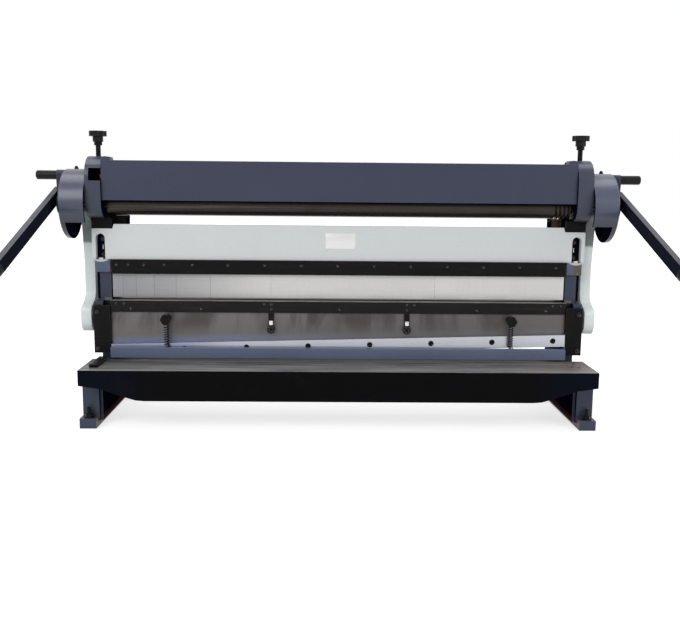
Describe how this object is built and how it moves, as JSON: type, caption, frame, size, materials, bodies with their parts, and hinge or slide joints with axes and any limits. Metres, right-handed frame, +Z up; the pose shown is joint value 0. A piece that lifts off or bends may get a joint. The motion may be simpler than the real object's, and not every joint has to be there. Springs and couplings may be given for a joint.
{
  "type": "combination sheet metal machine",
  "caption": "Bench sheet metal machine with a raked shear and hold-down bar, a box-and-pan finger brake and slip rolls in one frame, worked by levers at its ends.",
  "frame": {"origin": "on the floor under the middle of the bounding box", "axes": "+Z up, +X to the operator's right along the working width, -Y towards the operator"},
  "size_m": [1.75, 0.8112, 0.82],
  "materials": {
    "blue_paint": "satin dark blue enamel",
    "grey_paint": "satin light grey enamel",
    "black_paint": "satin black enamel, worn on the table's top",
    "black_oxide": "blackened, lightly oiled",
    "ground_steel": "ground",
    "bare_steel": "machined, oiled",
    "finger_steel": "milled",
    "bar_blue_grey": "blue-grey, oiled",
    "roll_steel": "turned, greased",
    "bronze": "machined",
    "black_plastic": "moulded, fine grain"
  },
  "bodies": {
    "frame": {"side_frame_left": "blue_paint", "side_frame_right": "blue_paint", "tie_bar": "blue_paint", "work_table": "black_paint", "lower_knife": "ground_steel", "side_gauge": "black_oxide", "gib_plate_left": "black_oxide", "gib_plate_right": "black_oxide", "upper_beam": "grey_paint", "beam_seat_left": "ground_steel", "beam_seat_right": "ground_steel", "clamp_bar": "black_oxide", "finger_1": "finger_steel", "finger_2": "finger_steel", "finger_3": "finger_steel", "finger_4": "finger_steel", "finger_5": "finger_steel", "finger_6": "finger_steel", "finger_7": "finger_steel", "finger_8": "finger_steel", "roll_housing_left": "blue_paint", "roll_housing_right": "blue_paint", "housing_seat_left": "black_paint", "housing_seat_right": "black_paint", "tie_beam": "blue_paint", "drum_left": "blue_paint", "drum_right": "blue_paint"},
    "ram": {"ram": "bare_steel", "upper_knife": "ground_steel", "v_die": "black_oxide", "die_strap_left": "black_oxide", "die_strap_right": "black_oxide", "guide_bolt_left": "black_oxide", "guide_bolt_right": "black_oxide", "rod_pin_left": "bare_steel", "rod_pin_right": "bare_steel", "connecting_rod_left": "grey_paint", "connecting_rod_right": "grey_paint", "hold_down_spring_left": "black_oxide", "hold_down_spring_right": "black_oxide"},
    "hold_down": {"hold_down_bar": "bar_blue_grey", "hold_down_stud_left": "bare_steel", "hold_down_stud_right": "bare_steel"},
    "lower_roll": {"lower_roll": "roll_steel", "lower_roll_gear": "bare_steel"},
    "upper_roll": {"upper_roll": "roll_steel", "upper_roll_gear": "bare_steel"},
    "idler_roll": {"idler_roll": "roll_steel"},
    "lever_left": {"lever_left": "blue_paint", "eccentric_left": "bare_steel", "arm_grip_left": "black_plastic", "end_grip_left": "black_plastic"},
    "block_left": {"bearing_block_left": "bronze"},
    "knob_left": {"knob_screw_left": "black_plastic"},
    "lever_right": {"lever_right": "blue_paint", "eccentric_right": "bare_steel", "arm_grip_right": "black_plastic", "end_grip_right": "black_plastic"},
    "block_right": {"bearing_block_right": "bronze"},
    "knob_right": {"knob_screw_right": "black_plastic"}
  },
  "joints": [
    {"name": "lever_left_swing", "type": "hinge", "parent": "frame", "child": "lever_left", "pos_m": [-0.813, 0.18464, 0.613], "axis": [-1, 0, 0], "range_deg": [0, 150]},
    {"name": "lever_right_swing", "type": "hinge", "parent": "frame", "child": "lever_right", "pos_m": [0.813, 0.18464, 0.613], "axis": [-1, 0, 0], "range_deg": [0, 150]},
    {"name": "ram_slide", "type": "slide", "parent": "frame", "child": "ram", "axis": [0, 0, 1], "range_m": [-0.042, 0]},
    {"name": "hold_down_slide", "type": "slide", "parent": "ram", "child": "hold_down", "axis": [0, 0, 1], "range_m": [0, 0.0385], "deforming": ["hold_down_spring_left", "hold_down_spring_right"]},
    {"name": "lower_roll_turn", "type": "hinge", "parent": "frame", "child": "lower_roll", "pos_m": [0, 0.18464, 0.613], "axis": [1, 0, 0], "continuous": true},
    {"name": "upper_roll_turn", "type": "hinge", "parent": "block_left", "child": "upper_roll", "pos_m": [0, 0.18464, 0.6756], "axis": [1, 0, 0], "continuous": true},
    {"name": "idler_roll_turn", "type": "hinge", "parent": "frame", "child": "idler_roll", "pos_m": [0, 0.25464, 0.625], "axis": [1, 0, 0], "continuous": true},
    {"name": "knob_left_turn", "type": "hinge", "parent": "block_left", "child": "knob_left", "pos_m": [-0.694, 0.18464, 0.82], "axis": [0, 0, 1], "range_deg": [0, 540]},
    {"name": "block_left_slide", "type": "slide", "parent": "frame", "child": "block_left", "axis": [0, 0, 1], "range_m": [0, 0.003]},
    {"name": "block_right_slide", "type": "slide", "parent": "frame", "child": "block_right", "axis": [0, 0, 1], "range_m": [0, 0.003]},
    {"name": "knob_right_turn", "type": "hinge", "parent": "block_right", "child": "knob_right", "pos_m": [0.694, 0.18464, 0.82], "axis": [0, 0, 1], "range_deg": [0, 540]}
  ],
  "couplings": [
    {"joint": "lever_right_swing", "follows": "lever_left_swing", "ratio": 1},
    {"joint": "ram_slide", "follows": "lever_left_swing", "m_per_rad": -0.01604},
    {"joint": "hold_down_slide", "follows": "lever_left_swing", "m_per_rad": 0.0147},
    {"joint": "upper_roll_turn", "follows": "lower_roll_turn", "ratio": -1},
    {"joint": "block_right_slide", "follows": "block_left_slide", "ratio": 1},
    {"joint": "knob_left_turn", "follows": "block_left_slide", "rad_per_m": 3141.6},
    {"joint": "knob_right_turn", "follows": "block_left_slide", "rad_per_m": 3141.6}
  ]
}
